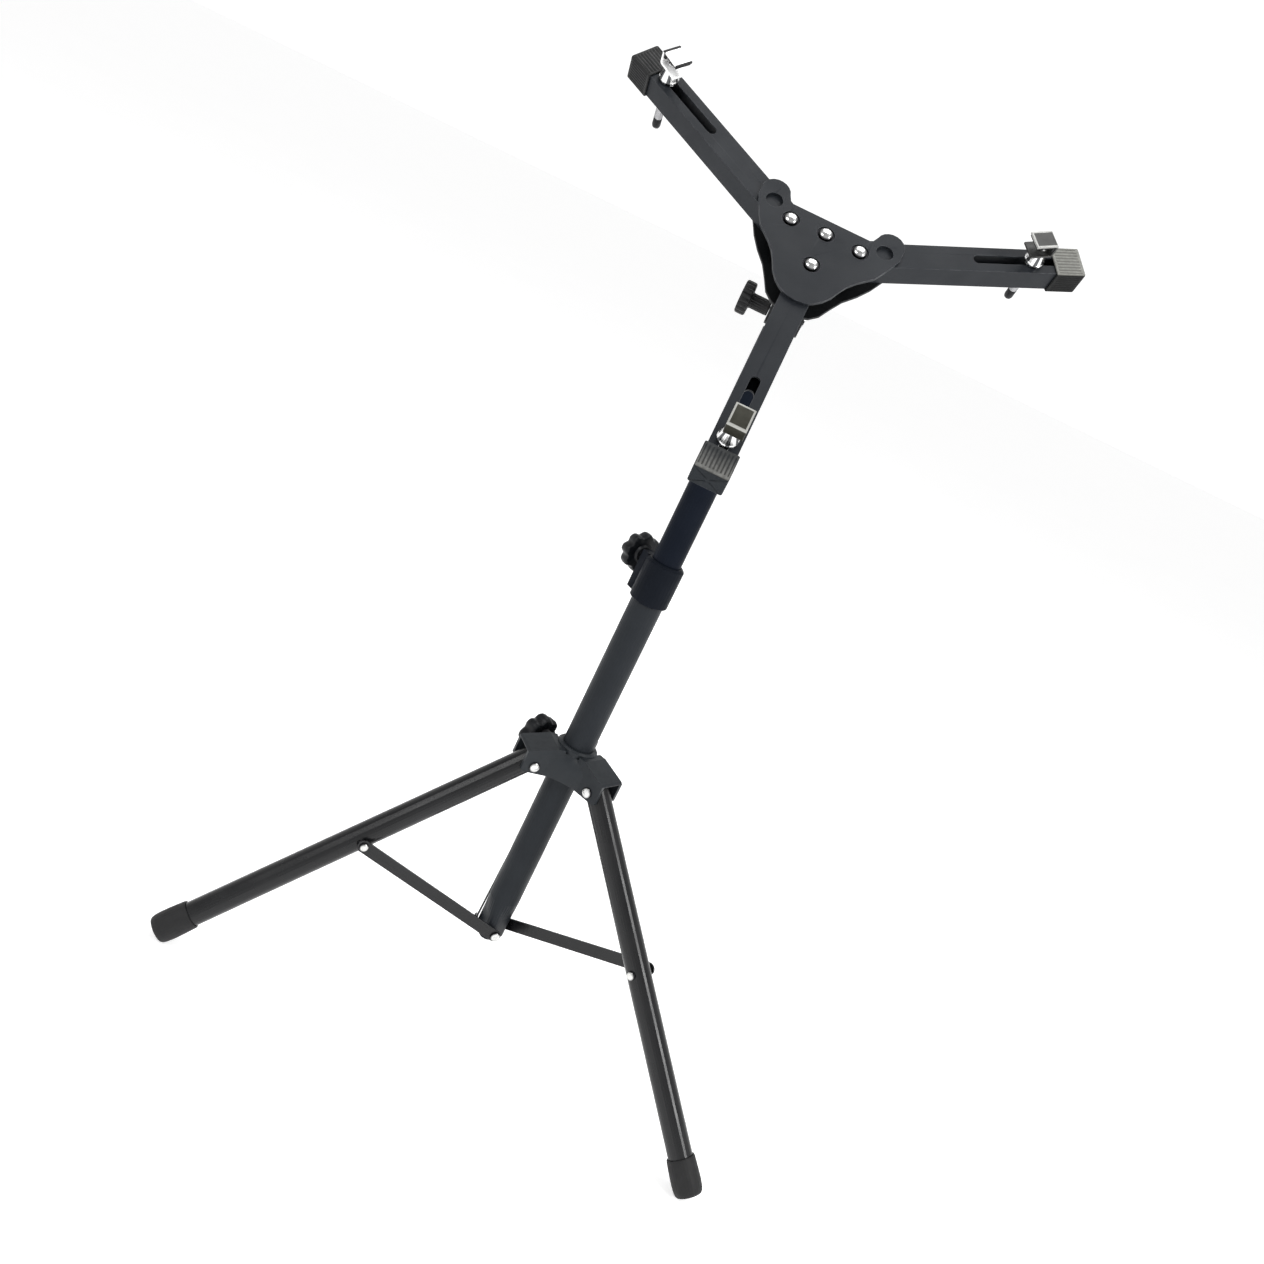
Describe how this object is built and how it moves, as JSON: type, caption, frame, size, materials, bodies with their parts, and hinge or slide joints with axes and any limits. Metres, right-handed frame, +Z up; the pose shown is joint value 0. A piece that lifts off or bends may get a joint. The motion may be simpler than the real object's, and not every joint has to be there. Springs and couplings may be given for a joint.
{
  "type": "folding tripod stand with tilting clamp head",
  "caption": "Folding tripod stand with a telescoping pole, and a tilting head of slotted arms that carry swivelling rim clips.",
  "frame": {"origin": "bottom centre of the bounding box, on the floor", "axes": "+Z up along the pole, -Y the side that the head slopes down to, +X to the right seen from that side"},
  "size_m": [0.4504, 0.4202, 0.7139],
  "materials": {
    "black_steel": "satin black paint",
    "bright_steel": "bright plated",
    "black_plastic": "fine matt",
    "rubber": "matt",
    "zinc": "zinc plated"
  },
  "bodies": {
    "hub": {"hub": "black_plastic", "leg_pivot_rivet_left": "bright_steel", "leg_pivot_rivet_right": "bright_steel", "leg_pivot_rivet_rear": "bright_steel"},
    "leg_left": {"leg_left": "black_steel", "foot_left": "rubber", "brace_rivet_left": "bright_steel"},
    "brace_left": {"brace_left": "black_steel", "brace_pin_left": "bright_steel"},
    "leg_right": {"leg_right": "black_steel", "foot_right": "rubber", "brace_rivet_right": "bright_steel"},
    "brace_right": {"brace_right": "black_steel", "brace_pin_right": "bright_steel"},
    "leg_rear": {"leg_rear": "black_steel", "foot_rear": "rubber", "brace_rivet_rear": "bright_steel"},
    "brace_rear": {"brace_rear": "black_steel", "brace_pin_rear": "bright_steel"},
    "pole": {"lower_tube": "black_steel", "mid_collar": "black_plastic"},
    "hub_knob": {"hub_knob": "black_plastic", "hub_knob_stud": "bright_steel"},
    "collar_knob": {"collar_knob": "black_plastic", "collar_knob_stud": "bright_steel"},
    "mast": {"upper_tube": "black_steel", "tilter_base": "black_plastic"},
    "head": {"tilter_bracket": "black_steel", "bottom_plate": "black_steel", "top_plate": "black_steel", "plate_screw_upper": "zinc", "plate_screw_lower": "zinc", "arm_pivot_left": "zinc", "arm_pivot_right": "zinc", "tilt_bolt": "zinc", "arm_fixed": "black_steel", "arm_cap_fixed": "black_plastic"},
    "tilt_knob": {"tilt_knob": "black_plastic"},
    "arm_left": {"arm_left": "black_steel", "arm_cap_left": "black_plastic"},
    "arm_right": {"arm_right": "black_steel", "arm_cap_right": "black_plastic"},
    "clamp_fixed": {"clamp_bolt_fixed": "bright_steel", "taper_nut_fixed": "bright_steel"},
    "clip_fixed": {"rim_clip_fixed": "black_steel", "clip_pad_fixed": "rubber"},
    "thumb_nut_fixed": {"thumb_nut_fixed": "zinc"},
    "clamp_left": {"clamp_bolt_left": "bright_steel", "taper_nut_left": "bright_steel"},
    "clip_left": {"rim_clip_left": "black_steel", "clip_pad_left": "rubber"},
    "thumb_nut_left": {"thumb_nut_left": "zinc"},
    "clamp_right": {"clamp_bolt_right": "bright_steel", "taper_nut_right": "bright_steel"},
    "clip_right": {"rim_clip_right": "black_steel", "clip_pad_right": "rubber"},
    "thumb_nut_right": {"thumb_nut_right": "zinc"}
  },
  "joints": [
    {"name": "leg_left_fold", "type": "hinge", "parent": "hub", "child": "leg_left", "pos_m": [-0.02681, -0.06412, 0.2126], "axis": [0.4848, -0.8746, 0], "range_deg": [0, 46.66]},
    {"name": "leg_right_fold", "type": "hinge", "parent": "hub", "child": "leg_right", "pos_m": [0.03051, -0.06512, 0.2126], "axis": [0.515, 0.8572, 0], "range_deg": [0, 46.66]},
    {"name": "leg_rear_fold", "type": "hinge", "parent": "hub", "child": "leg_rear", "pos_m": [0.00272, -0.01498, 0.2126], "axis": [-0.9998, 0.0175, 0], "range_deg": [0, 46.66]},
    {"name": "brace_left_turn", "type": "hinge", "parent": "leg_left", "child": "brace_left", "pos_m": [-0.11517, -0.11309, 0.11727], "axis": [0.4848, -0.8746, 0], "range_deg": [-98.89, 0]},
    {"name": "brace_right_turn", "type": "hinge", "parent": "leg_right", "child": "brace_right", "pos_m": [0.1171, -0.11715, 0.11727], "axis": [0.515, 0.8572, 0], "range_deg": [-98.89, 0]},
    {"name": "brace_rear_turn", "type": "hinge", "parent": "leg_rear", "child": "brace_rear", "pos_m": [0.00448, 0.08603, 0.11727], "axis": [-0.9998, 0.0175, 0], "range_deg": [-98.89, 0]},
    {"name": "pole_slide", "type": "slide", "parent": "hub", "child": "pole", "axis": [0, 0, -1], "range_m": [0, 0.1257]},
    {"name": "hub_knob_turn", "type": "hinge", "parent": "hub", "child": "hub_knob", "pos_m": [0.00214, -0.04807, 0.2167], "axis": [-0.8572, 0.515, 0], "continuous": true},
    {"name": "collar_knob_turn", "type": "hinge", "parent": "pole", "child": "collar_knob", "pos_m": [0.00214, -0.04807, 0.3862], "axis": [-0.6293, 0.7771, 0], "continuous": true},
    {"name": "mast_slide", "type": "slide", "parent": "pole", "child": "mast", "axis": [0, 0, 1], "range_m": [-0.12, 0.08]},
    {"name": "head_tilt", "type": "hinge", "parent": "mast", "child": "head", "pos_m": [0.00214, -0.04807, 0.5873], "axis": [1, 0, 0], "range_deg": [-46.5, 30]},
    {"name": "tilt_knob_turn", "type": "hinge", "parent": "head", "child": "tilt_knob", "pos_m": [0.00214, -0.04807, 0.5873], "axis": [-1, 0, 0], "continuous": true},
    {"name": "arm_left_fold", "type": "hinge", "parent": "head", "child": "arm_left", "pos_m": [-0.02292, -0.07008, 0.64534], "axis": [0, -0.7253, 0.6885], "range_deg": [0, 120]},
    {"name": "arm_right_fold", "type": "hinge", "parent": "head", "child": "arm_right", "pos_m": [0.0272, -0.07008, 0.64534], "axis": [0, -0.7253, 0.6885], "range_deg": [-120, 0]},
    {"name": "clamp_fixed_slide", "type": "slide", "parent": "head", "child": "clamp_fixed", "axis": [0, -0.6885, -0.7253], "range_m": [-0.045, 0]},
    {"name": "clip_fixed_swivel", "type": "hinge", "parent": "clamp_fixed", "child": "clip_fixed", "pos_m": [0.00214, -0.19226, 0.51663], "axis": [0, -0.7253, 0.6885], "continuous": true},
    {"name": "thumb_nut_fixed_turn", "type": "hinge", "parent": "clamp_fixed", "child": "thumb_nut_fixed", "pos_m": [0.00214, -0.17486, 0.50011], "axis": [0, -0.7253, 0.6885], "continuous": true},
    {"name": "clamp_left_slide", "type": "slide", "parent": "arm_left", "child": "clamp_left", "axis": [-0.866, 0.3442, 0.3626], "range_m": [-0.045, 0]},
    {"name": "clip_left_swivel", "type": "hinge", "parent": "clamp_left", "child": "clip_left", "pos_m": [-0.13989, -0.02358, 0.69432], "axis": [0, -0.7253, 0.6885], "continuous": true},
    {"name": "thumb_nut_left_turn", "type": "hinge", "parent": "clamp_left", "child": "thumb_nut_left", "pos_m": [-0.13989, -0.00618, 0.6778], "axis": [0, -0.7253, 0.6885], "continuous": true},
    {"name": "clamp_right_slide", "type": "slide", "parent": "arm_right", "child": "clamp_right", "axis": [0.866, 0.3442, 0.3626], "range_m": [-0.038, 0.007]},
    {"name": "clip_right_swivel", "type": "hinge", "parent": "clamp_right", "child": "clip_right", "pos_m": [0.13672, -0.02654, 0.6912], "axis": [0, -0.7253, 0.6885], "continuous": true},
    {"name": "thumb_nut_right_turn", "type": "hinge", "parent": "clamp_right", "child": "thumb_nut_right", "pos_m": [0.13672, -0.00914, 0.67468], "axis": [0, -0.7253, 0.6885], "continuous": true}
  ],
  "couplings": [
    {"joint": "brace_left_turn", "follows": "leg_left_fold", "ratio": -2.1172},
    {"joint": "leg_right_fold", "follows": "leg_left_fold", "ratio": 1},
    {"joint": "brace_right_turn", "follows": "leg_left_fold", "ratio": -2.1172},
    {"joint": "leg_rear_fold", "follows": "leg_left_fold", "ratio": 1},
    {"joint": "brace_rear_turn", "follows": "leg_left_fold", "ratio": -2.1172},
    {"joint": "pole_slide", "follows": "leg_left_fold", "m_per_rad": 0.15394}
  ]
}
